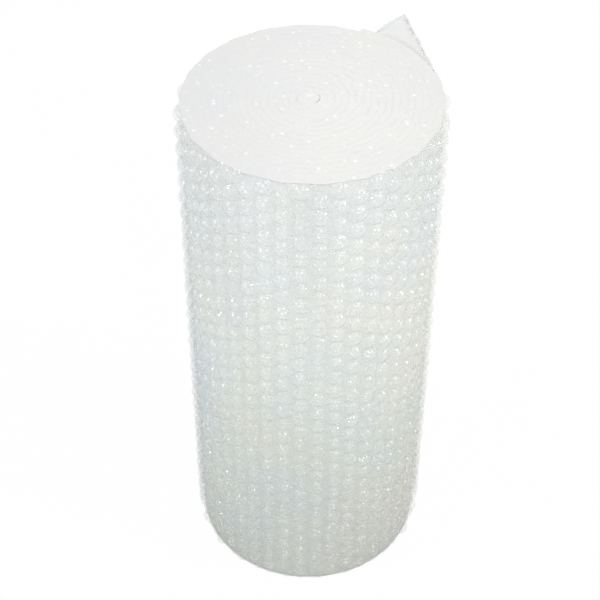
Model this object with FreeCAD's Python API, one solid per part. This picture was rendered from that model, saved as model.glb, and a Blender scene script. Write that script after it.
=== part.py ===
"""Bubble film roll, standing on end.

One web of bubble film, wound on itself with no core.  The flat film faces the
middle and the bubbles face out.  The web is one solid: it starts at a small
open eye, winds out in a spiral with a thin gap between its turns, shows its
bubbles on the outermost turn and ends in a square-cut tail, whose upper corner
has sprung free of the roll.

A place on the web is given by three numbers: how far it is wound, as an angle
from the start of the web; its height above the lower cut edge; and its lift,
which is its distance from the flat inside face.  The origin is the middle of
the lower end, +Z is up, and the winding runs counter-clockwise seen from above.
"""
import FreeCAD, Part
import math
import os

NODE = "bubble_film_roll"
FULL_TURN = 2 * math.pi

SIZES = [
    ("web_width", 300.0, "cut width of the web, which is the height of the roll"),
    ("roll_diameter", 137.5, "across the bubbles at the tail of the web"),
    ("eye_radius", 3.0, "open eye in the middle of the winding"),
    ("turn_pitch", 3.5, "growth of the radius in one turn"),
    ("web_thickness", 3.1, "film with its sealed air, as pressed in the winding"),
    ("film_thickness", 0.8, "flat film between the bubbles of the outermost turn"),
    ("bubble_height", 3.9, "inside face of the film to the crown of a free bubble"),
    ("cut_bubble_height", 1.5, "the same for a bubble that the knife has cut open"),
    ("bubble_pitch", 10.4, "middle to middle of neighbouring bubbles"),
    ("coil_flats", 22, "flats that stand for one inner turn"),
    ("tail_angle", 66.5, "direction of the tail edge, in degrees from +X"),
    ("peel_length", 59.0, "length of the top edge that stands free at the tail"),
    ("peel_depth", 18.0, "height of the tail edge that stands free below the top"),
]


def make_sheet(doc):
    """The driving sizes, in millimetres and degrees, one row each with its meaning."""
    sheet = doc.addObject("Spreadsheet::Sheet", "sizes")
    for row, (alias, value, meaning) in enumerate(SIZES, start=1):
        sheet.set("A%d" % row, alias)
        sheet.set("B%d" % row, str(value))
        sheet.setAlias("B%d" % row, alias)
        sheet.set("C%d" % row, meaning)
    return sheet


class Web:
    """The path of the web, worked out from the driving sizes."""

    def __init__(self, sheet):
        self.width = float(sheet.web_width)
        self.eye_radius = float(sheet.eye_radius)
        self.turn_pitch = float(sheet.turn_pitch)
        self.thickness = float(sheet.web_thickness)
        self.film = float(sheet.film_thickness)
        self.crown = float(sheet.bubble_height)
        self.cut_crown = float(sheet.cut_bubble_height)
        self.coil_flats = int(sheet.coil_flats)
        self.tail_direction = math.radians(float(sheet.tail_angle))
        self.peel_depth = float(sheet.peel_depth)
        tail_radius = float(sheet.roll_diameter) / 2 - self.crown
        self.end = FULL_TURN * (tail_radius - self.eye_radius) / self.turn_pitch
        self.outer_start = self.end - FULL_TURN
        self.peel_turn = float(sheet.peel_length) / tail_radius
        middle_radius = tail_radius - self.turn_pitch / 2
        pitch = float(sheet.bubble_pitch)
        self.rows = max(1, round(self.width / pitch))
        self.row_pitch = self.width / self.rows
        column_pitch = pitch * math.sqrt(3) / 2
        self.columns = max(3, round(FULL_TURN * middle_radius / column_pitch - 1 / 3))
        self.column_turn = FULL_TURN / (self.columns + 1 / 3)

    def radius(self, wound):
        """Radius of the flat inside face: it grows by one turn pitch in a full turn."""
        return self.eye_radius + self.turn_pitch * wound / FULL_TURN

    def leaves_at(self, height):
        """Winding angle at which the web leaves the round.

        It is the tail edge below the free corner, and comes back by the peeled
        angle in proportion to the height within the corner.
        """
        free = (height - (self.width - self.peel_depth)) / self.peel_depth
        return self.end - self.peel_turn * max(0.0, free)

    def place(self, wound, height, lift):
        """Point of the web: on the spiral, and past the leaving point on its tangent."""
        leaving = min(wound, self.leaves_at(height))
        direction = self.tail_direction - (self.end - leaving)
        outward = FreeCAD.Vector(math.cos(direction), math.sin(direction), 0)
        onward = FreeCAD.Vector(-math.sin(direction), math.cos(direction), 0)
        straight = self.radius(leaving) * (wound - leaving)
        up = FreeCAD.Vector(0, 0, height)
        return outward * (self.radius(leaving) + lift) + onward * straight + up

    def crown_lift(self, height):
        """Lift of a bubble's crown: at the two cut edges the bubbles are open and lie low."""
        near_edge = min(height, self.width - height) < self.row_pitch / 4
        return self.cut_crown if near_edge else self.crown

    def column_middle(self, column):
        """Winding angle of a column of bubbles, counted from the start of the outer turn."""
        return self.outer_start + (column + 2 / 3) * self.column_turn

    def bubble_heights(self, column):
        """Heights of a column's bubbles; odd columns are shifted by half a pitch."""
        if column % 2:
            return [row * self.row_pitch for row in range(self.rows + 1)]
        return [(row + 0.5) * self.row_pitch for row in range(self.rows)]


def facet(points):
    """One flat face with straight edges through the points."""
    return Part.Face(Part.makePolygon(points + points[:1]))


def without_repeats(points):
    """The same points, with neighbours that coincide left out."""
    kept = []
    for point in points:
        if not kept or point.distanceToPoint(kept[-1]) > 1e-6:
            kept.append(point)
    return kept


def bubble_facets(web, column, height):
    """One bubble as a six-sided cap over its cell, cut off at the edges of the web.

    The cell is a hexagon with two points along the winding.  Its corners lie on the
    film and its crown stands in the middle.
    """
    third = web.column_turn / 3
    half_row = web.row_pitch / 2
    middle = web.column_middle(column)
    corners = [
        (2 * third, 0.0),
        (third, half_row),
        (-third, half_row),
        (-2 * third, 0.0),
        (-third, -half_row),
        (third, -half_row),
    ]
    crown = web.place(middle, height, web.crown_lift(height))
    faces = []
    for first, second in zip(corners, corners[1:] + corners[:1]):
        middle_height = height + (first[1] + second[1]) / 2
        if middle_height < 0 or middle_height > web.width:
            continue
        start = web.place(middle + first[0], height + first[1], web.film)
        finish = web.place(middle + second[0], height + second[1], web.film)
        faces.append(facet([crown, start, finish]))
    return faces


def flat_border_facets(web, column, side):
    """The film between the first or last column of bubbles and its straight border."""
    third = web.column_turn / 3
    middle = web.column_middle(column)
    border = middle + side * 2 * third
    heights = web.bubble_heights(column)
    levels = [0.0] + [level for level in heights if 0 < level < web.width] + [web.width]
    faces = []
    for low, high in zip(levels, levels[1:]):
        corner_height = (low + high) / 2
        if low not in heights:
            corner_height = low
        if high not in heights:
            corner_height = high
        corner = web.place(middle + side * third, corner_height, web.film)
        lower = web.place(border, low, web.film)
        upper = web.place(border, high, web.film)
        faces.append(facet([lower, corner, upper]))
    return faces, levels


def edge_outline(web, height):
    """Outer line of the outermost turn along one cut edge, with its halved bubbles."""
    third = web.column_turn / 3
    line = [web.place(web.outer_start, height, web.film)]
    for column in range(web.columns):
        middle = web.column_middle(column)
        if height in web.bubble_heights(column):
            line.append(web.place(middle - 2 * third, height, web.film))
            line.append(web.place(middle, height, web.crown_lift(height)))
            line.append(web.place(middle + 2 * third, height, web.film))
        else:
            line.append(web.place(middle - third, height, web.film))
            line.append(web.place(middle + third, height, web.film))
    line.append(web.place(web.end, height, web.film))
    return without_repeats(line)


def coil_stations(web):
    """Winding angles of the inner turns, at the same directions in every turn."""
    step = FULL_TURN / web.coil_flats
    count = math.floor(web.outer_start / step - 1e-6)
    return [index * step for index in range(count + 1)] + [web.outer_start]


def outer_stations(web):
    """Winding angles of the inside face of the outermost turn, one for each column."""
    last = web.columns - 1
    between = [web.column_middle(column) + web.column_turn / 2 for column in range(last)]
    return [web.outer_start] + between + [web.end]


def inside_levels(web, wound):
    """Heights of the inside face at a station: only the free corner needs some between."""
    if wound <= web.end - web.peel_turn:
        return [0.0, web.width]
    half_row = web.row_pitch / 2
    count = math.ceil(web.peel_depth / half_row)
    free = [web.width - index * half_row for index in range(count, -1, -1)]
    return [0.0] + [level for level in free if level > 0]


def strip_facets(web, stations, lift):
    """The upright strips of a face of the web at one lift, from station to station."""
    faces = []
    for first, second in zip(stations, stations[1:]):
        left = [web.place(first, level, lift) for level in inside_levels(web, first)]
        right = [web.place(second, level, lift) for level in inside_levels(web, second)]
        if len(left) == 2 and len(right) == 2:
            faces.append(facet([left[0], right[0], right[1], left[1]]))
        else:
            faces += ladder_facets(left, right)
    return faces


def ladder_facets(left, right):
    """Triangles between two lines of points, always closing the lower open rung."""
    faces = []
    row, other = 0, 0
    while row < len(left) - 1 or other < len(right) - 1:
        take_left = other == len(right) - 1
        if row < len(left) - 1 and other < len(right) - 1:
            take_left = left[row + 1].z <= right[other + 1].z
        if take_left:
            faces.append(facet([left[row], right[other], left[row + 1]]))
            row += 1
        else:
            faces.append(facet([left[row], right[other], right[other + 1]]))
            other += 1
    return faces


def end_face(web, height):
    """The flat end of the roll: the spiral section of the whole web at one cut edge."""
    coil = coil_stations(web)
    outside = [web.place(wound, height, web.thickness) for wound in coil]
    outside += edge_outline(web, height)
    inside = [web.place(wound, height, 0.0) for wound in coil + outer_stations(web)[1:]]
    return facet(outside + inside[::-1])


def web_solid(web):
    """The whole web as one closed solid."""
    faces = []
    for column in range(web.columns):
        for height in web.bubble_heights(column):
            faces += bubble_facets(web, column, height)
    first_border, first_levels = flat_border_facets(web, 0, -1)
    last_border, last_levels = flat_border_facets(web, web.columns - 1, 1)
    faces += first_border + last_border

    coil = coil_stations(web)
    faces += strip_facets(web, coil, web.thickness)
    faces += strip_facets(web, coil + outer_stations(web)[1:], 0.0)

    step_top = [web.place(web.outer_start, level, web.film) for level in first_levels]
    step_foot = [web.place(web.outer_start, level, web.thickness) for level in (0.0, web.width)]
    faces.append(facet(step_top + step_foot[::-1]))
    start_inside = [web.place(0.0, level, 0.0) for level in (0.0, web.width)]
    start_outside = [web.place(0.0, level, web.thickness) for level in (0.0, web.width)]
    faces.append(facet(start_inside + start_outside[::-1]))
    tail_inside = [web.place(web.end, level, 0.0) for level in inside_levels(web, web.end)]
    tail_outside = [web.place(web.end, level, web.film) for level in last_levels]
    faces += ladder_facets(tail_inside, tail_outside)

    faces.append(end_face(web, 0.0))
    faces.append(end_face(web, web.width))
    solid = Part.Solid(Part.Shell(faces))
    if solid.Volume < 0:
        solid.reverse()
    return solid


def main():
    doc = FreeCAD.newDocument("bubble_film_roll")
    sheet = make_sheet(doc)
    doc.recompute()

    roll = doc.addObject("Part::Feature", NODE)
    roll.Label = NODE
    roll.Shape = web_solid(Web(sheet))
    roll.Placement = FreeCAD.Placement()
    doc.recompute()

    for item in doc.Objects:
        if "Invalid" in item.State or "Error" in item.State:
            raise RuntimeError("%s failed: %s" % (item.Name, item.State))
    if roll.Shape.isNull() or not roll.Shape.isValid():
        raise RuntimeError("%s has no valid shape" % NODE)

    os.makedirs("parts", exist_ok=True)
    roll.Shape.exportStep("parts/%s.step" % roll.Label)
    box = roll.Shape.BoundBox
    print("%s: %d faces, volume %.0f mm3" % (NODE, len(roll.Shape.Faces), roll.Shape.Volume))
    print("box %.1f to %.1f, %.1f to %.1f, %.1f to %.1f"
          % (box.XMin, box.XMax, box.YMin, box.YMax, box.ZMin, box.ZMax))


main()
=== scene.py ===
# %% [markdown]
# # A roll of bubble film
#
# The object is one long web of bubble film, wound on itself and stood on end.
# A web has two layers: a flat film, which faces the middle of the roll, and a
# film drawn into round bubbles, which faces out.  Seen from a step away it is
# the bubbles of the outermost turn that give the roll its look, then the pale
# end with its cut edges, and the loose corner of the tail.
#
# Every surface here is a function of the same three numbers: how far the web is
# wound, the height above the lower cut edge, and the lift off the flat film.
# The alternative, modelling a flat web and bending it with modifiers, would
# stretch the bubbles on the inner turns, so the winding is computed instead.

# %% The fixed frame
import math

import bpy
import numpy as np
from mathutils import Matrix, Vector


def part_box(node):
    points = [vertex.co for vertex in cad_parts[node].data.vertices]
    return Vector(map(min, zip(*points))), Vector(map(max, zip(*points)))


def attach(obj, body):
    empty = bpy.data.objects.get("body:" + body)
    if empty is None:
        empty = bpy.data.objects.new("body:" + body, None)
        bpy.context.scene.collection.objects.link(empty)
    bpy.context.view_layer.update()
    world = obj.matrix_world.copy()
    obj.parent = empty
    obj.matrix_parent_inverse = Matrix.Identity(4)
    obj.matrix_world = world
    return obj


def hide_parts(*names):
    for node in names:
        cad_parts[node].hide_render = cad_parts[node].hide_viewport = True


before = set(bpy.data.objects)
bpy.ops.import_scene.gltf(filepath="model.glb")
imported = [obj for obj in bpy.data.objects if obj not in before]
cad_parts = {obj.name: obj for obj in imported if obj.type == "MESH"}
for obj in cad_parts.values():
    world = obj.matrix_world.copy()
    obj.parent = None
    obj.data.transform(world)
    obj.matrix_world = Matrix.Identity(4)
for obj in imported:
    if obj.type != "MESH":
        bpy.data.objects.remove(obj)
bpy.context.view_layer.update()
roll_low, roll_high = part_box("bubble_film_roll")

# %% [markdown]
# The sizes of the web are those of the real thing, in metres.  The height comes
# from the frame.  Rows and columns of bubbles are fitted to whole numbers, so
# that the pattern meets both cut edges in the same way.
#
# A bubble's hexagonal cell reaches two thirds of a column pitch to each side, so
# a turn of whole cells is a third of a column longer than its count of columns.

# %% Sizes of the web
FULL_TURN = 2 * math.pi
WEB_WIDTH = float(roll_high[2] - roll_low[2])
TAIL_RADIUS = 0.06485
CROWN = 0.0039
EYE_RADIUS = 0.003
TURN_PITCH = 0.0035
BUBBLE_PITCH = 0.0104
BUBBLE_RADIUS = 0.0047
FILM = 0.0003
TAIL_DIRECTION = math.radians(66.5)
PEEL_LENGTH = 0.059
PEEL_DEPTH = 0.018
CELL_REACH = 2 / 3
SPARE_COLUMN = 1 / 3

WEB_END = FULL_TURN * (TAIL_RADIUS - EYE_RADIUS) / TURN_PITCH
OUTER_START = WEB_END - FULL_TURN
PEEL_TURN = PEEL_LENGTH / TAIL_RADIUS
ROWS = round(WEB_WIDTH / BUBBLE_PITCH)
ROW_PITCH = WEB_WIDTH / ROWS
OUTER_MIDDLE_RADIUS = TAIL_RADIUS - TURN_PITCH / 2
COLUMN_PITCH = BUBBLE_PITCH * math.sqrt(3) / 2
COLUMNS = round(FULL_TURN * OUTER_MIDDLE_RADIUS / COLUMN_PITCH - SPARE_COLUMN)
COLUMN_TURN = FULL_TURN / (COLUMNS + SPARE_COLUMN)
print("turns", WEB_END / FULL_TURN, "columns", COLUMNS, "rows", ROWS)

# %% [markdown]
# The path of the web.  The inside face grows by one turn pitch in a full turn,
# which is an Archimedean spiral.  At the tail, the upper corner has sprung free:
# above the peel depth the web leaves the round on its tangent, and the higher
# the place, the sooner it leaves.


# %% Path of the web
def leaving_angle(wound, height):
    """The winding angle up to which the web lies on the roll at this height.

    It is the web's end less the peel's angle times the height into the peel depth.
    """
    free = np.clip((height - (WEB_WIDTH - PEEL_DEPTH)) / PEEL_DEPTH, 0.0, 1.0)
    return np.minimum(wound, WEB_END - PEEL_TURN * free)


def web_place(wound, height, lift):
    """Points of the web as an array of rows x, y, z.

    radius = eye radius + turn pitch * wound / 2 pi, at the direction of the tail
    less what is still to wind; past the leaving angle the point goes straight on
    along the tangent, by radius times the angle left over.
    """
    wound, height, lift = np.broadcast_arrays(wound, height, lift)
    leaving = leaving_angle(wound, height)
    direction = TAIL_DIRECTION - (WEB_END - leaving)
    radius = EYE_RADIUS + TURN_PITCH * leaving / FULL_TURN
    straight = radius * (wound - leaving)
    across = np.cos(direction)
    along = np.sin(direction)
    x = across * (radius + lift) - along * straight
    y = along * (radius + lift) + across * straight
    return np.stack([x, y, height], axis=-1).reshape(-1, 3)


tail_corner = web_place(WEB_END, WEB_WIDTH, 0.0)[0]
print("tail corner", tail_corner.round(4).tolist())

# %% [markdown]
# Meshes are filled from arrays.  A small helper merges the points that
# neighbouring cells share, so a sheet made of many cells becomes one surface.

# %% From arrays to a mesh
MERGE_STEPS = 1e7


def merge_points(plan, faces):
    """Joins points whose plan coordinates agree to a tenth of a micron."""
    keys = np.round(plan * MERGE_STEPS).astype(np.int64)
    unique, first, back = np.unique(keys, axis=0, return_index=True, return_inverse=True)
    return first, back.reshape(-1)[faces]


def mesh_object(name, points, faces, smooth=True):
    """A mesh object at the origin from points and faces of three or four corners.

    A face of three corners is written as a row of four whose last two are equal.
    """
    mesh = bpy.data.meshes.new(name)
    triangle = faces[:, 2] == faces[:, 3]
    sizes = np.where(triangle, 3, 4)
    keep = np.ones(faces.shape, dtype=bool)
    keep[triangle, 3] = False
    loops = faces[keep]
    mesh.vertices.add(len(points))
    mesh.vertices.foreach_set("co", points.astype(np.float32).ravel())
    mesh.loops.add(len(loops))
    mesh.loops.foreach_set("vertex_index", loops.astype(np.int32))
    mesh.polygons.add(len(faces))
    starts = np.concatenate([[0], np.cumsum(sizes)[:-1]])
    mesh.polygons.foreach_set("loop_start", starts.astype(np.int32))
    mesh.polygons.foreach_set("use_smooth", np.full(len(faces), smooth))
    mesh.update(calc_edges=True)
    mesh.validate()
    piece = bpy.data.objects.new(name, mesh)
    bpy.context.collection.objects.link(piece)
    print(name, len(points), "points", int((sizes - 2).sum()), "triangles")
    return piece


# %% [markdown]
# The camera stands where the photograph was taken from: 45 degrees above, about
# twelve radii from the middle of the roll, with a long lens.

# %% Camera
VIEW_RADIUS = 0.0672
CAMERA_PLACE = np.array([0.0, -8.689, 10.923]) * VIEW_RADIUS
PITCH = math.radians(44.25)
YAW = 0.0079
ROLL = 0.0038
SENSOR = 36.0
IMAGE_WIDTH_PX = 600
FOCAL_PX = 1505.8
FAR_LIMIT = 20.0


def camera_axes():
    """Right, up and back of the camera: yaw about +Z, pitch down, then roll in the image."""
    right = np.array([math.cos(YAW), math.sin(YAW), 0.0])
    level = np.array([-math.sin(YAW), math.cos(YAW), 0.0])
    forward = level * math.cos(PITCH) - np.array([0, 0, math.sin(PITCH)])
    up = np.cross(right, forward)
    rolled_right = math.cos(ROLL) * right + math.sin(ROLL) * up
    rolled_up = math.cos(ROLL) * up - math.sin(ROLL) * right
    return rolled_right, rolled_up, -forward


camera_data = bpy.data.cameras.new("photo_camera")
camera_data.sensor_width = SENSOR
camera_data.lens = FOCAL_PX / IMAGE_WIDTH_PX * SENSOR
camera_data.clip_end = FAR_LIMIT
camera = bpy.data.objects.new("photo_camera", camera_data)
bpy.context.collection.objects.link(camera)
turn = Matrix(np.stack(camera_axes(), axis=1).tolist()).to_4x4()
camera.matrix_world = Matrix.Translation(CAMERA_PLACE.tolist()) @ turn
bpy.context.scene.camera = camera
print("lens", camera_data.lens)

# %% [markdown]
# The outermost turn is a hexagonal lattice of bubbles, with its dense rows along
# the roll's axis and every second column half a pitch higher.  Each bubble is a
# polar patch: rings from the crown to the rim, then out to the border of its
# hexagonal cell, where it meets its neighbours.  A patch of a few dozen faces
# keeps the round outline where a square grid would cut it into steps.

# %% Lattice of bubbles
SECTORS = 12
RING_SHARES = np.array([0.28, 0.52, 0.72, 0.88, 1.0])
SAME_PLACE = 1e-7


def lattice(start):
    """Winding angle and height of every bubble in a turn, the cut ones too."""
    column = np.arange(COLUMNS)
    wound = start + (column + CELL_REACH) * COLUMN_TURN
    even = (np.arange(ROWS) + 0.5) * ROW_PITCH
    odd = np.arange(ROWS + 1) * ROW_PITCH
    parts = [np.stack(np.meshgrid(wound[0::2], even, indexing="ij"), -1).reshape(-1, 2),
             np.stack(np.meshgrid(wound[1::2], odd, indexing="ij"), -1).reshape(-1, 2)]
    return np.concatenate(parts)


def cell_border():
    """Twelve points of a cell's border: six corners and the middles between them.

    The corners are (2/3, 0), (1/3, 1/2) and so on round, in column and row pitches.
    """
    corner = np.array([[2 / 3, 0], [1 / 3, 0.5], [-1 / 3, 0.5],
                       [-2 / 3, 0], [-1 / 3, -0.5], [1 / 3, -0.5]])
    middle = (corner + np.roll(corner, -1, axis=0)) / 2
    border = np.stack([corner, middle], axis=1).reshape(-1, 2)
    return border * np.array([COLUMN_TURN, ROW_PITCH])


def patch_points():
    """Plan offsets, shares of the bubble's radius and outward ways of one patch's points.

    The crown comes first, then the rings, then the border of the cell, which counts as
    lying on the rim.
    """
    angle = np.arange(SECTORS) * FULL_TURN / SECTORS
    unit = np.stack([np.cos(angle) / OUTER_MIDDLE_RADIUS, np.sin(angle)], -1) * BUBBLE_RADIUS
    rings = RING_SHARES[:, None, None] * unit[None]
    offsets = np.concatenate([np.zeros((1, 2)), rings.reshape(-1, 2), cell_border()])
    shares = np.concatenate([[0.0], np.repeat(RING_SHARES, SECTORS), np.ones(SECTORS)])
    way = np.stack([np.cos(angle), np.sin(angle)], -1)
    ring_ways = np.tile(way, (len(RING_SHARES), 1))
    toward = np.concatenate([np.zeros((1, 2)), ring_ways, np.zeros((SECTORS, 2))])
    return offsets, shares, toward


def patch_faces(middle, points_each):
    """Faces of all patches: a fan round the crown, then bands out to the cell's border.

    A bubble on a cut edge keeps only the half that lies on the web.
    """
    ring_count = len(RING_SHARES) + 1
    near = np.arange(SECTORS)
    far = (near + 1) % SECTORS
    bands = [np.stack([np.zeros(SECTORS, int), 1 + near, 1 + far, 1 + far], -1)]
    for ring in range(ring_count - 1):
        low = 1 + ring * SECTORS
        high = low + SECTORS
        bands.append(np.stack([low + near, high + near, high + far, low + far], -1))
    patch = np.concatenate(bands)
    faces = patch[None] + (np.arange(len(middle)) * points_each)[:, None, None]
    upper_half = np.tile(near < SECTORS // 2, ring_count)
    keep = np.ones(faces.shape[:2], dtype=bool)
    keep[middle[:, 1] < SAME_PLACE] = upper_half
    keep[middle[:, 1] > WEB_WIDTH - SAME_PLACE] = ~upper_half
    return faces[keep]


print("bubbles", len(lattice(OUTER_START)), "points in a patch", len(patch_points()[1]))

# %% [markdown]
# Real bubbles aren't alike: some are fuller, some have gone soft or were pushed
# to one side in the winding.  Seeded random numbers give each bubble its own
# crown height, lean and dent, and that scatters the glints of the lamps.
#
# At both cut edges the knife has opened the bubbles, so they lie low.  They are
# flatter too on the corner that has sprung free.

# %% Form of each bubble
CROWN_SPREAD = 0.06
LEAN_SPREAD = 0.10
DENT_DEPTH = 0.0009
DENT_REACH = 0.4
DENT_PLACE_SPREAD = 0.3
DENTED_SHARE = 0.6
CUT_BUBBLE_RISE = 0.15
FREE_CORNER_RISE = 0.45
rng = np.random.default_rng(29)


def dome(share):
    """Height of a bubble's wall, from 1 at the crown to 0 at the rim.

    share is the distance from the middle over the bubble's radius.  The wall lies
    halfway between a ball and a paraboloid, 1 - share**2.  With height h and radius
    r, ball = (h**2 + r**2) / 2h, and the ball stands sqrt(ball**2 - (share * r)**2)
    less (ball - h) above the rim.
    """
    share = np.minimum(share, 1.0)
    rise = CROWN - FILM
    ball = (rise ** 2 + BUBBLE_RADIUS ** 2) / (2 * rise)
    on_ball = np.sqrt(ball ** 2 - np.square(share * BUBBLE_RADIUS)) - (ball - rise)
    return 0.5 * on_ball / rise + 0.5 * (1 - np.square(share))


def bubble_lifts(middle, shares, toward):
    """Lift of every point of every bubble, as rows of points.

    lift = film + (crown - film) * dome * fullness, with a tilt by the lean, less a
    dent of bell shape somewhere on the crown.  A bubble on a cut edge is open, has
    lost its air and lies almost flat.
    """
    count = len(middle)
    fullness = 1.0 - CROWN_SPREAD * np.abs(rng.standard_normal(count))
    lean = rng.normal(0, LEAN_SPREAD, (count, 2))
    dented = (rng.random(count) < DENTED_SHARE) * rng.random(count)
    dent_place = rng.normal(0, DENT_PLACE_SPREAD, (count, 2))
    wound, height = middle.T
    is_cut = (height < SAME_PLACE) | (height > WEB_WIDTH - SAME_PLACE)
    is_free = leaving_angle(wound, height) < wound
    fullness[is_cut] *= CUT_BUBBLE_RISE
    fullness[is_free & ~is_cut] *= FREE_CORNER_RISE
    tilt = 1.0 + (lean @ toward.T) * shares[None]
    lift = (CROWN - FILM) * dome(shares)[None] * fullness[:, None] * tilt
    spot = toward * shares[:, None]
    away = np.linalg.norm(spot[None] - dent_place[:, None, :], axis=-1) / DENT_REACH
    dent = DENT_DEPTH * np.exp(-np.square(away)) * (1.0 - shares ** 4)[None]
    return FILM + np.maximum(lift - dent * (dented * ~is_cut)[:, None], 0.0)


def bubble_patches(start):
    """Plan (winding, height), lift and faces of a turn's bubbles, as whole arrays."""
    middle = lattice(start)
    offsets, shares, toward = patch_points()
    plan = middle[:, None, :] + offsets[None]
    lift = bubble_lifts(middle, shares, toward)
    return plan.reshape(-1, 2), lift.reshape(-1), patch_faces(middle, len(offsets))


ring_heights = dome(RING_SHARES) * (CROWN - FILM)
print("heights of a full bubble's rings", ring_heights.round(5).tolist())

# %% [markdown]
# Hexagonal cells leave a row of triangles at each straight border of the web, and
# strips of flat film fill them.

# %% Straight borders and cut edges
def border_strips(start):
    """Flat film between the first and last columns of bubbles and the web's borders."""
    plans = []
    for column, side in ((0, -1), (COLUMNS - 1, 1)):
        middle = start + (column + CELL_REACH) * COLUMN_TURN
        if column % 2:
            tips = np.arange(ROWS + 1) * ROW_PITCH
            corner = (np.arange(ROWS) + 0.5) * ROW_PITCH
            lower, upper = tips[:-1], tips[1:]
        else:
            tips = (np.arange(ROWS) + 0.5) * ROW_PITCH
            corner = np.arange(ROWS + 1) * ROW_PITCH
            lower = np.concatenate([[0.0], tips])
            upper = np.concatenate([tips, [WEB_WIDTH]])
        third = side * COLUMN_TURN / 3
        far = np.full(len(lower), middle + 2 * third)
        near = np.full(len(lower), middle + third)
        triangle = np.stack([np.stack([far, lower], -1), np.stack([near, corner], -1),
                             np.stack([far, upper], -1)], axis=1)
        plans.append(triangle if side < 0 else triangle[:, ::-1])
    plan = np.concatenate(plans).reshape(-1, 2)
    first = np.arange(0, len(plan), 3)
    return plan, np.stack([first, first + 1, first + 2, first + 2], -1)


def ordered_edge(plan, axis, value):
    """The sheet's points whose plan coordinate on this axis has the value, in order along it."""
    on_edge = np.flatnonzero(np.abs(plan[:, axis] - value) < SAME_PLACE)
    return on_edge[np.argsort(plan[on_edge, 1 - axis])]


def bubble_sheet(start):
    """The outer skin of a turn as one surface: bubbles, cell borders and flat strips."""
    plan, lift, faces = bubble_patches(start)
    flat_plan, flat_faces = border_strips(start)
    faces = np.concatenate([faces, flat_faces + len(plan)])
    lift = np.concatenate([lift, np.full(len(flat_plan), FILM)])
    plan = np.concatenate([plan, flat_plan])
    first, faces = merge_points(plan, faces)
    plan, lift = plan[first], lift[first]
    used = np.unique(faces)
    renumber = np.full(len(plan), -1)
    renumber[used] = np.arange(len(used))
    return plan[used], lift[used], renumber[faces]


print("flat triangles at the straight borders", len(border_strips(OUTER_START)[1]))

# %% [markdown]
# A film has two sides, so the turn is closed: the flat film is a plain grid on the
# inside, rims join the two along the cut edges, and ladders of triangles join
# them along the straight borders, where the two have points at unlike heights.
#
# An attribute keeps how far each point has left the roll, because free film looks
# milky against the light, with nothing pale behind it.

# %% The outermost turn
FREE_LEVELS = 12
FREE_RAMP = 4.0


def ladder_faces(plan, edge, column, levels, turned):
    """Triangles between the skin's points on a straight border and the flat film's.

    Between two points of the skin, the flat film's levels that lie there fan out from
    the lower point, and one triangle closes the gap to the upper point.
    """
    faces = []
    match = np.searchsorted(levels, plan[edge, 1] - SAME_PLACE)
    for low in range(len(edge) - 1):
        ladder = column[match[low]:match[low + 1] + 1]
        for lower, upper in zip(ladder, ladder[1:]):
            faces.append([lower, edge[low], upper, upper])
        faces.append([edge[low], edge[low + 1], ladder[-1], ladder[-1]])
    faces = np.array(faces)
    return faces[:, ::-1] if turned else faces


def make_turn(name, turn_start):
    """One full turn as a closed skin: bubbles outside, flat film inside, edges between."""
    plan, lift, faces = bubble_sheet(turn_start)
    bottom = ordered_edge(plan, 1, 0.0)
    top = ordered_edge(plan, 1, WEB_WIDTH)
    start = ordered_edge(plan, 0, plan[:, 0].min())
    finish = ordered_edge(plan, 0, plan[:, 0].max())

    levels = np.append(0.0, np.linspace(WEB_WIDTH - PEEL_DEPTH, WEB_WIDTH, FREE_LEVELS))
    stations = plan[bottom, 0]
    grid_plan = np.stack(np.meshgrid(stations, levels, indexing="ij"), -1)
    index = len(plan) + np.arange(len(stations) * len(levels)).reshape(len(stations), -1)
    inside = np.stack([index[:-1, :-1], index[:-1, 1:], index[1:, 1:], index[1:, :-1]], -1)
    low_rim = np.stack([index[:-1, 0], index[1:, 0], bottom[1:], bottom[:-1]], -1)
    high_rim = np.stack([index[1:, -1], index[:-1, -1], top[:-1], top[1:]], -1)
    first_border = ladder_faces(plan, start, index[0], levels, turned=False)
    last_border = ladder_faces(plan, finish, index[-1], levels, turned=True)

    faces = np.concatenate([faces, inside.reshape(-1, 4), low_rim, high_rim,
                            first_border, last_border])
    swap = faces[:, 0] == faces[:, 1]
    faces[swap] = faces[swap][:, ::-1]
    wound, height = np.concatenate([plan, grid_plan.reshape(-1, 2)]).T
    lift = np.concatenate([lift, np.zeros(index.size)])
    piece = mesh_object(name, web_place(wound, height, lift), faces)
    off_roll = (wound - leaving_angle(wound, height)) / PEEL_TURN
    share = piece.data.attributes.new("free_share", "FLOAT", "POINT")
    share.data.foreach_set("value", np.clip(off_roll * FREE_RAMP, 0, 1).astype(np.float32))
    return piece


outer_turn = make_turn("outer_turn", OUTER_START)

# %% [markdown]
# Inside the roll the web is pressed between its neighbours, and only its two cut
# edges can be seen.  There the edge of the flat film is a plain spiral line, and
# the edge of the bubble film runs beside it in low arches, one over each bubble
# that the knife went through, with shallow hollows between the two films.
#
# Open sheets for both films would leave deep gaps between them, far darker than the real end,
# where light gets in through every film and the whole end looks like one pale disc.  So these
# turns are one closed wall, and its end faces carry the film edges as very low ridges with
# shallow hollows between them.  The first turn is filled to the middle, as tight winding does.

# %% Cut edges on the end of the roll
EDGE_HALF_WIDTH = 0.045
VALLEY_SHARE = 0.12
ARCH_SPREAD = 0.12
LOWEST_ARCH = 0.4
HOLLOW_START = 1.2
LEAST_HOLLOW = 1.5
HOLLOW_PROFILE = np.array([0.0, 0.8, 1.0, 0.7, 0.0, 0.7, 1.0, 0.8])
HALF_GROWTH = TURN_PITCH / (2 * FULL_TURN)


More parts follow.
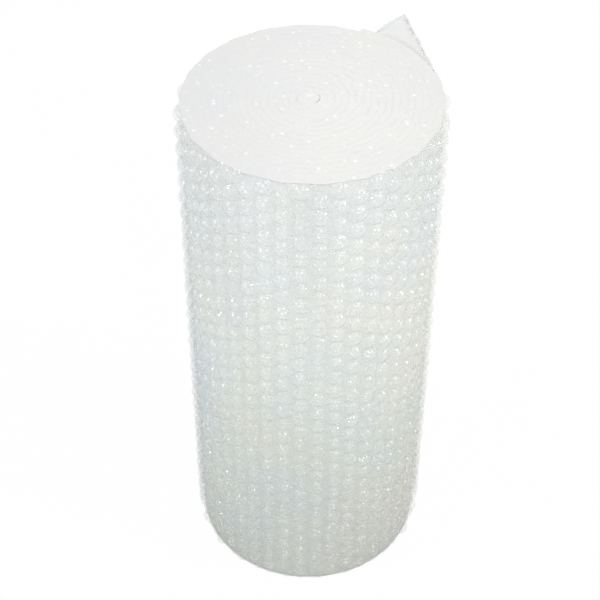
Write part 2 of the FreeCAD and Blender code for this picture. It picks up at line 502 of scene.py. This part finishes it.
def wound_to_length(wound):
    """Length of web at a winding angle: eye radius * angle + turn pitch * angle**2 / 4 pi."""
    return EYE_RADIUS * wound + HALF_GROWTH * wound ** 2


def length_to_wound(length):
    """Winding angle at a length along the web, as the positive root of that square."""
    root = np.sqrt(EYE_RADIUS ** 2 + 4 * HALF_GROWTH * length)
    return (-EYE_RADIUS + root) / (2 * HALF_GROWTH)


def arch_share(length, shift):
    """Where the bubble film's cut edge lies, from 0 at the flat film to 1 at the next turn.

    Over a cut bubble it follows the dome, and between two of them it lies low.  Each
    arch has its own height, drawn from the seeded numbers.
    """
    pair = 2 * COLUMN_PITCH
    number = np.round((length - shift) / pair).astype(int)
    first = number.min()
    away = np.abs(length - shift - number * pair) / BUBBLE_RADIUS
    height = 1.0 - np.abs(rng.normal(0, ARCH_SPREAD, number.max() - first + 1))
    arch = dome(away) * np.clip(height, LOWEST_ARCH, 1.0)[number - first]
    return np.clip(np.maximum(arch, VALLEY_SHARE), 0, 1 - 2 * EDGE_HALF_WIDTH)


def end_rows(arch):
    """Lift shares of the eight rows across an end face, which follow the arch.

    They are the flat film's edge, three rows of the hollow inside the bubble, the
    bubble film's edge and three rows of the hollow outside it, up to the next turn.
    """
    thin = np.full_like(arch, EDGE_HALF_WIDTH)
    first = HOLLOW_START * thin
    inner = np.maximum(arch - thin, LEAST_HOLLOW * thin)
    outer = inner + 2 * thin
    rows = [0 * arch, first, (first + inner) / 2, inner,
            inner + thin, outer, (outer + 1) / 2, np.ones_like(arch)]
    return np.stack(rows, axis=1)


print("metres of web under the outermost turn", round(wound_to_length(OUTER_START), 3))

# %% [markdown]
# The section of the wall is carried along the spiral.  Its height waves a little,
# because a knife never cuts a soft roll quite flat.  The turn right under the
# outermost one is a little thinner, so that it stays clear of the flats of that
# turn's film, which would otherwise show as pale stripes.

# %% The wound inner turns
SAMPLES_PER_COLUMN = 8
HOLLOW_DEPTH = 0.00003
HEART_START = -4.4
HEART_FILL = 0.97
END_THICKNESS = 0.00349
COVERED_THICKNESS = 0.00345
EDGE_WAVE = 0.00002
SLOW_WAVE = 2.3
QUICK_WAVE = 5.1
WAVE_NOISE = 0.4


def make_wound_turns():
    """All turns but the outermost, as one closed wall.

    Its section runs round: up the inside face, across the top rows, down the
    outside face and back across the bottom rows.
    """
    first = wound_to_length(HEART_START)
    last = wound_to_length(OUTER_START)
    samples = int((last - first) / COLUMN_PITCH * SAMPLES_PER_COLUMN)
    length = np.linspace(first, last, samples)
    wound = length_to_wound(length)
    waves = np.sin(wound * SLOW_WAVE) + np.sin(wound * QUICK_WAVE + 1)
    dip = EDGE_WAVE * np.abs(waves + rng.normal(0, WAVE_NOISE, samples))[:, None]
    depth = HOLLOW_DEPTH * HOLLOW_PROFILE[None] + dip
    top_share = end_rows(arch_share(length, 0.0))
    low_share = end_rows(arch_share(length, COLUMN_PITCH))
    share = np.concatenate([top_share, low_share[:, ::-1]], axis=1)
    height = np.concatenate([WEB_WIDTH - depth, depth[:, ::-1]], axis=1)
    radius = EYE_RADIUS + TURN_PITCH * wound / FULL_TURN
    inside = np.where(wound < HEART_START + FULL_TURN, -HEART_FILL * radius, 0.0)[:, None]
    covered = wound > OUTER_START - FULL_TURN
    outside = np.where(covered, COVERED_THICKNESS, END_THICKNESS)[:, None]
    points = web_place(wound[:, None], height, inside + share * (outside - inside))

    around = share.shape[1]
    half = around // 2
    index = np.arange(samples * around).reshape(samples, around)
    ahead = np.roll(index, -1, axis=1)
    sides = np.stack([index[:-1], ahead[:-1], ahead[1:], index[1:]], -1).reshape(-1, 4)
    caps = []
    for row, turned in ((index[0], True), (index[-1], False)):
        upper, lower = row[:half], row[half:][::-1]
        cap = np.stack([upper[:-1], upper[1:], lower[1:], lower[:-1]], -1)
        caps.append(cap[:, ::-1] if turned else cap)
    return mesh_object("wound_turns", points, np.concatenate([sides] + caps))


wound_turns = make_wound_turns()

# %% [markdown]
# Materials are small trees of nodes.  A few helpers make a node, set its inputs
# and link it in one line, which keeps the trees below short enough to read.

# %% Node helpers
WHITE = (1, 1, 1, 1)


def node(tree, kind, inputs=None, **properties):
    """A node with its properties set and its inputs fed, by label or by number.

    A value that is another node's output is linked, and any other value is set.
    """
    made = tree.nodes.new(kind)
    for label, value in properties.items():
        setattr(made, label, value)
    for label, value in (inputs or {}).items():
        if isinstance(value, bpy.types.NodeSocket):
            tree.links.new(value, made.inputs[label])
        else:
            made.inputs[label].default_value = value
    return made


def maths(tree, operation, *values):
    """Output of a math node on two or three values."""
    made = node(tree, "ShaderNodeMath", dict(enumerate(values)), operation=operation)
    return made.outputs["Value"]


def spread(tree, value, low, high, start=0.0, end=1.0):
    """Output of a Map Range node: low to high becomes start to end, held beyond both."""
    inputs = {"Value": value, "From Min": low, "From Max": high, "To Min": start, "To Max": end}
    return node(tree, "ShaderNodeMapRange", inputs).outputs["Result"]


def blend(tree, share, first, second, kind="RGBA"):
    """Output of a Mix node: first + (second - first) * share."""
    inputs = {"Factor": share, "A": first, "B": second}
    return node(tree, "ShaderNodeMix", inputs, data_type=kind).outputs["Result"]


def noise(tree, place, scale, detail, distortion=0.0):
    """Output of a noise texture, from 0 to 1 about a mean of a half."""
    inputs = {"Vector": place, "Scale": scale, "Detail": detail, "Distortion": distortion}
    return node(tree, "ShaderNodeTexNoise", inputs).outputs["Fac"]


def object_place(tree):
    """The place on the piece, in metres."""
    return node(tree, "ShaderNodeTexCoord").outputs["Object"]


def new_group(name, inputs, outputs):
    """A shader node group with float or colour inputs and outputs."""
    group = bpy.data.node_groups.new(name, "ShaderNodeTree")
    for label, kind, value in inputs:
        socket = group.interface.new_socket(label, in_out="INPUT", socket_type=kind)
        socket.default_value = value
    for label, kind in outputs:
        group.interface.new_socket(label, in_out="OUTPUT", socket_type=kind)
    print("group", name)
    return group, group.nodes.new("NodeGroupInput"), group.nodes.new("NodeGroupOutput")


# %% [markdown]
# Polyethylene film is nearly clear, and a roll of it looks pale because light is
# scattered at each of its many layers.  Following the light through forty layers
# would be slow and noisy, so the outermost turn lets most of the light through
# and the turns below are pale and scattering.
#
# Three effects are shared.  The first is a slow drift of tint, cool in some places and warm in
# others at random, with painted light on top: cooler to the left and top and warmer to the right,
# as coloured light from round about would fall, and paler towards the open upper end.

# %% Shared effect: drift of tint and painted light
TINT_LIMITS = (0.45, 0.75)
TINT_DRIFTS_AND_PAINTED_LIGHT = (("Cool", 24.0, (-1.2, 0.0, 0.3)), ("Warm", 16.0, (1.6, 0.0, -0.2)))
TINT_DETAIL = 3.0
PAINTED_LIGHT_FROM = 0.4


def build_tint_and_painted_light():
    """Mixes three tints by place and noise on Object coordinates.

    share of a tint = noise + gradient . place, spread from 0 to 1 between two limits; the noise
    is random tone, and the gradient by place is painted coloured light.
    Painted light also makes the colour paler towards the open upper end, standing in for the
    light that the roll takes in there:
    colour = colour + (white - colour) * painted end light * share of the height.
    """
    inputs = [("Plain", "NodeSocketColor", (0.8, 0.8, 0.8, 1)),
              ("Cool", "NodeSocketColor", (0.7, 0.75, 0.8, 1)),
              ("Warm", "NodeSocketColor", (0.8, 0.8, 0.7, 1)),
              ("Amount", "NodeSocketFloat", 0.7),
              ("Painted End Light", "NodeSocketFloat", 0.0)]
    group, source, result = new_group("tint_and_painted_light", inputs, [("Color", "NodeSocketColor")])
    place = object_place(group)
    colour = source.outputs["Plain"]
    for label, scale, painted_light_slope in TINT_DRIFTS_AND_PAINTED_LIGHT:
        # The noise gives random tone; the gradient by place is painted coloured light, cool from
        # the left and top and warm from the right.
        lean = node(group, "ShaderNodeVectorMath", {0: place, 1: painted_light_slope}, operation="DOT_PRODUCT")
        drift = noise(group, place, scale, TINT_DETAIL)
        share = spread(group, maths(group, "ADD", drift, lean.outputs["Value"]), *TINT_LIMITS)
        amount = maths(group, "MULTIPLY", share, source.outputs["Amount"])
        colour = blend(group, amount, colour, source.outputs[label])
    # Painted light: the colour turns paler towards the upper end, standing in for the light that
    # comes in at the open end.
    height = node(group, "ShaderNodeSeparateXYZ", {"Vector": place}).outputs["Z"]
    rise = spread(group, height, PAINTED_LIGHT_FROM * WEB_WIDTH, WEB_WIDTH)
    painted_light = maths(group, "MULTIPLY", rise, source.outputs["Painted End Light"])
    group.links.new(blend(group, painted_light, colour, WHITE), result.inputs["Color"])
    return group


tint_and_painted_light = build_tint_and_painted_light()

# %% [markdown]
# The second effect is the fine wrinkling of thin film, as a height for bumps.

# %% Shared effect: wrinkles
FINE_WRINKLES = 400.0
FINE_DETAIL = 3.0
BROAD_WRINKLES = 90.0
BROAD_DETAIL = 1.0


def build_film_wrinkle():
    """Height of fine film wrinkles: stretched noise over a softer, rounder one."""
    inputs = [("Scale", "NodeSocketFloat", FINE_WRINKLES), ("Stretch", "NodeSocketFloat", 0.4)]
    group, source, result = new_group("film_wrinkle", inputs, [("Height", "NodeSocketFloat")])
    place = object_place(group)
    fine = noise(group, place, source.outputs["Scale"], FINE_DETAIL, source.outputs["Stretch"])
    broad = noise(group, place, BROAD_WRINKLES, BROAD_DETAIL)
    group.links.new(maths(group, "ADD", fine, broad), result.inputs["Height"])
    return group


film_wrinkle = build_film_wrinkle()

# %% [markdown]
# The third effect is white flecks in the base colour: thin lines of creased film, whitened where
# the film was bent or pinched, which also serve as painted glints, and round specks that are
# painted glints.  They do more for the likeness than any lamp, because they break up each bubble
# in its own way and stay put from every side.

# %% Shared effect: creased film and painted glints
CREASE_GLINT_DETAIL = 2.0
CLUSTER_SCALE = 110.0
CREASE_GLINT_SOFTNESS = 0.08
CREASE_GLINT_STRENGTH = 0.55
PAINTED_GLINT_RADII = (0.12, 0.28)
PAINTED_GLINT_CHANCE = (0.35, 0.95)


def build_crease_and_glint_flecks():
    """1 in small white flecks and 0 elsewhere: lines of creased film, partly real whitened film
    and partly painted glints, and round specks that are painted glints.

    creased lines = fine noise + cluster * (coarse noise - 1/2), spread from 0 to their strength
    above a limit.  painted glints = 1 near the middle of a Voronoi cell, in the share of cells
    whose own random number is high.  fleck = the greater of the two.
    """
    inputs = [("Scale", "NodeSocketFloat", 1100.0), ("Cluster", "NodeSocketFloat", 0.5),
              ("Painted Glint Scale", "NodeSocketFloat", 380.0), ("Limit", "NodeSocketFloat", 0.6)]
    group, source, result = new_group("crease_and_glint_flecks", inputs, [("Fleck", "NodeSocketFloat")])
    place = object_place(group)
    limit = source.outputs["Limit"]
    # Lines of creased film: partly real whitened film, partly painted glints.
    fine = noise(group, place, source.outputs["Scale"], CREASE_GLINT_DETAIL)
    coarse = maths(group, "SUBTRACT", noise(group, place, CLUSTER_SCALE, CREASE_GLINT_DETAIL), 0.5)
    total = maths(group, "MULTIPLY_ADD", coarse, source.outputs["Cluster"], fine)
    full = maths(group, "ADD", limit, CREASE_GLINT_SOFTNESS)
    crease_glint = spread(group, total, limit, full, 0.0, CREASE_GLINT_STRENGTH)

    # Painted glints: round white specks in a share of the Voronoi cells.
    cell_inputs = {"Vector": place, "Scale": source.outputs["Painted Glint Scale"]}
    cells = node(group, "ShaderNodeTexVoronoi", cell_inputs)
    near = spread(group, cells.outputs["Distance"], *PAINTED_GLINT_RADII, 1.0, 0.0)
    own = node(group, "ShaderNodeSeparateColor", {"Color": cells.outputs["Color"]})
    chosen = spread(group, own.outputs["Red"], *PAINTED_GLINT_CHANCE)
    painted_glint = maths(group, "MULTIPLY", near, chosen)
    group.links.new(maths(group, "MAXIMUM", crease_glint, painted_glint), result.inputs["Fleck"])
    return group


crease_and_glint_flecks = build_crease_and_glint_flecks()

# %% [markdown]
# All the films are the same plastic.  On the outermost turn it is mostly
# see-through and takes small sharp glints; its flat inner face only adds haze; in
# the winding it is closed and dull, because many layers lie behind one another;
# and the cut edges on the end are palest of all.

# %% Film materials
PLAIN_IOR = 1.5
IOR_GAIN = 0.5
BUMP_STRENGTH = 0.6
CREASE_AND_GLINT_ALPHA = 0.75
FREE_ALPHA = 0.42
FILM_TINTS = ((232, 237, 231), (226, 233, 238), (238, 236, 227))
DEEP_TINTS = ((228, 232, 226), (222, 229, 234), (234, 232, 223))
EDGE_TINTS = ((236, 236, 234), (233, 234, 236), (237, 236, 230))


def linear(red, green, blue):
    """A colour given on the screen's 0 to 255 scale, as the linear values nodes use."""
    share = np.array([red, green, blue]) / 255
    return (*np.where(share <= 0.04045, share / 12.92, ((share + 0.055) / 1.055) ** 2.4), 1.0)


def film_material(name, tints, roughness, alpha, wrinkle_depth, gloss, fleck_limit,
                  painted_glint_scale=380, painted_end_light=0.44):
    """Polyethylene film with drifting tint and painted light, a wrinkled surface and white flecks
    of creased film and painted glints.

    alpha goes from the film's own up to that of the flecks, and towards FREE_ALPHA on the free
    corner.  The reflection is raised with gloss above that of one plastic face, because a bubble
    has several faces one behind another.
    """
    material = bpy.data.materials.new(name)
    material.use_nodes = True
    tree = material.node_tree
    shader = tree.nodes["Principled BSDF"]
    link = tree.links.new
    tint_inputs = {label: linear(*tint) for label, tint in zip(("Plain", "Cool", "Warm"), tints)}
    # Painted light: how much paler the upper end is painted.
    tint_inputs["Painted End Light"] = painted_end_light
    tint = node(tree, "ShaderNodeGroup", tint_inputs, node_tree=tint_and_painted_light)
    fleck_inputs = {"Limit": fleck_limit, "Painted Glint Scale": painted_glint_scale}
    creases_and_glints = node(tree, "ShaderNodeGroup", fleck_inputs, node_tree=crease_and_glint_flecks)
    fleck = creases_and_glints.outputs["Fleck"]
    # The flecks paint white into the base colour: partly real creased film, partly painted
    # glints.
    link(blend(tree, fleck, tint.outputs["Color"], WHITE), shader.inputs["Base Color"])
    wrinkle = node(tree, "ShaderNodeGroup", node_tree=film_wrinkle)
    bump_inputs = {"Strength": BUMP_STRENGTH, "Distance": wrinkle_depth,
                   "Height": wrinkle.outputs["Height"]}
    bump = node(tree, "ShaderNodeBump", bump_inputs)
    link(bump.outputs["Normal"], shader.inputs["Normal"])
    shader.inputs["Roughness"].default_value = roughness
    shader.inputs["IOR"].default_value = PLAIN_IOR + IOR_GAIN * gloss
    shader.inputs["Specular IOR Level"].default_value = gloss
    if alpha < 1.0:
        cover = spread(tree, fleck, 0.0, 1.0, alpha, CREASE_AND_GLINT_ALPHA)
        free = node(tree, "ShaderNodeAttribute", attribute_name="free_share")
        link(blend(tree, free.outputs["Fac"], cover, FREE_ALPHA, "FLOAT"), shader.inputs["Alpha"])
    return material


outer_film = film_material("outer_film", FILM_TINTS, roughness=0.16, alpha=0.21,
                           wrinkle_depth=0.00011, gloss=0.85, fleck_limit=0.63)
flat_film = film_material("flat_film", FILM_TINTS, roughness=0.30, alpha=0.22,
                          wrinkle_depth=0.00006, gloss=0.0, fleck_limit=0.72)
inner_film = film_material("inner_film", DEEP_TINTS, roughness=0.70, alpha=1.0,
                           wrinkle_depth=0.0003, gloss=0.1, fleck_limit=0.63)
edge_film = film_material("edge_film", EDGE_TINTS, roughness=0.25, alpha=1.0,
                          wrinkle_depth=0.0001, gloss=0.15, fleck_limit=0.64,
                          painted_glint_scale=240, painted_end_light=0.0)
print("films", [film.name for film in (outer_film, flat_film, inner_film, edge_film)])

# %% [markdown]
# Which film a face has follows from where it lies and looks, so no face is picked
# by hand: towards the roll's axis, away from it, or up and down near a cut edge.

# %% Films on the pieces
END_SLOPE = 0.3
END_REACH = 0.0006


def face_values(mesh, label):
    """A value of three numbers for each face, as rows."""
    values = np.empty(len(mesh.polygons) * 3, dtype=np.float32)
    mesh.polygons.foreach_get(label, values)
    return values.reshape(-1, 3)


def paint_film(piece, outside, inside):
    """Films on the outer and inner faces of a piece, and cut edges on its two ends.

    A face looks inwards where its normal . (x, y) of its middle is negative.
    """
    mesh = piece.data
    for film in (outside, inside, edge_film):
        mesh.materials.append(film)
    normals = face_values(mesh, "normal")
    middles = face_values(mesh, "center")
    looks_in = (normals[:, :2] * middles[:, :2]).sum(axis=1) < 0
    from_end = WEB_WIDTH / 2 - np.abs(middles[:, 2] - WEB_WIDTH / 2)
    on_end = (np.abs(normals[:, 2]) > END_SLOPE) & (from_end < END_REACH)
    film = np.where(on_end, 2, np.where(looks_in, 1, 0))
    mesh.polygons.foreach_set("material_index", film.astype(np.int32))
    mesh.polygons.foreach_set("use_smooth", ~on_end)
    print(piece.name, "faces out, in and on the ends", np.bincount(film, minlength=3).tolist())


paint_film(outer_turn, outer_film, flat_film)
paint_film(wound_turns, inner_film, inner_film)

# %% [markdown]
# All pieces stand for the one CAD solid and move with it.

# %% What each piece stands for
for piece in (outer_turn, wound_turns):
    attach(piece, "root")
    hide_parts("bubble_film_roll")
    print(piece.name, "stands for bubble_film_roll")

# %% [markdown]
# The stage is a pale floor that goes on past the picture.  The camera sees most
# of it as plain white, and the rest is a matt floor that keeps the shadow.

# %% Floor and world
FLOOR_HALF = 6.0
FLOOR_WHITE_SHARE = 0.97
FLOOR_PAINT = (0.93, 0.93, 0.93, 1)
SKY_LIGHT = 0.53


def seen_by_camera(tree):
    """1 for camera, glossy and transmission rays, else 0."""
    rays = node(tree, "ShaderNodeLightPath").outputs
    seen = maths(tree, "MAXIMUM", rays["Is Camera Ray"], rays["Is Glossy Ray"])
    return maths(tree, "MAXIMUM", seen, rays["Is Transmission Ray"])


def make_floor():
    """A square floor: white to the camera for most of its share, matt for the rest."""
    corner = np.array([[-1, -1, 0], [1, -1, 0], [1, 1, 0], [-1, 1, 0]]) * FLOOR_HALF
    floor = mesh_object("floor", corner, np.array([[0, 1, 2, 3]]), smooth=False)
    material = bpy.data.materials.new("floor_paint")
    material.use_nodes = True
    tree = material.node_tree
    tree.nodes.clear()
    matt = node(tree, "ShaderNodeBsdfDiffuse", {"Color": FLOOR_PAINT})
    white = node(tree, "ShaderNodeEmission", {"Color": WHITE, "Strength": 1.0})
    share = maths(tree, "MULTIPLY", seen_by_camera(tree), FLOOR_WHITE_SHARE)
    mix_inputs = {"Fac": share, 1: matt.outputs["BSDF"], 2: white.outputs["Emission"]}
    mix = node(tree, "ShaderNodeMixShader", mix_inputs)
    node(tree, "ShaderNodeOutputMaterial", {"Surface": mix.outputs["Shader"]})
    floor.data.materials.append(material)


def make_world(ambient):
    """An even pale sky: white to the camera, dimmer as a light."""
    world = bpy.data.worlds.new("studio")
    bpy.context.scene.world = world
    world.use_nodes = True
    tree = world.node_tree
    background = tree.nodes["Background"]
    background.inputs["Color"].default_value = WHITE
    strength = spread(tree, seen_by_camera(tree), 0.0, 1.0, ambient, 1.0)
    tree.links.new(strength, background.inputs["Strength"])
    print("sky light", ambient)


make_floor()
make_world(SKY_LIGHT)

# %% [markdown]
# Most of the light is the even pale sky.  Small lamps all round add the glints on
# the bubbles: two in front, high and low, one on each side, and two behind, where
# one shines across the pale end.  A small lamp gives a sharper glint than a wide
# one for the same light, and it stays small next to the even light.

# %% Lamps
ROLL_MIDDLE = np.array([0.0, 0.0, WEB_WIDTH / 2])
LEVEL_WAY = [0, 1, 0.01]


def add_lamp(name, place, size, full_share):
    """A square lamp aimed at the roll.

    A lamp of power pi**2 * distance**2 watts gives a white face turned to it a
    brightness of one; full_share is the part of that which this lamp gives.
    """
    data = bpy.data.lights.new(name, "AREA")
    data.shape = "SQUARE"
    data.size = size
    away = np.array(place) - ROLL_MIDDLE
    distance = float(np.linalg.norm(away))
    data.energy = full_share * math.pi ** 2 * distance ** 2
    lamp = bpy.data.objects.new(name, data)
    bpy.context.collection.objects.link(lamp)
    back = away / distance
    side = np.cross(LEVEL_WAY, back)
    side = side / np.linalg.norm(side)
    axes = Matrix(np.stack([side, np.cross(back, side), back], axis=1).tolist()).to_4x4()
    lamp.matrix_world = Matrix.Translation([float(v) for v in place]) @ axes
    print(name, round(data.energy, 3), "watts")


add_lamp("left_soft", (-1.1, -0.4, 0.9), size=0.3, full_share=0.22)
add_lamp("right_soft", (1.1, -0.4, 1.0), size=0.3, full_share=0.27)
add_lamp("high_glint", (0.22, -0.75, 1.10), size=0.22, full_share=0.12)
add_lamp("low_glint", (-0.25, -1.5, 0.45), size=0.30, full_share=0.12)
add_lamp("back_glint", (0.05, 1.25, 1.30), size=0.25, full_share=0.04)
add_lamp("rear_glint", (0.45, 1.4, 0.55), size=0.30, full_share=0.20)

# %% [markdown]
# Colours are shown as they are written, with no film look on top.

# %% View
bpy.context.scene.view_settings.view_transform = "Standard"
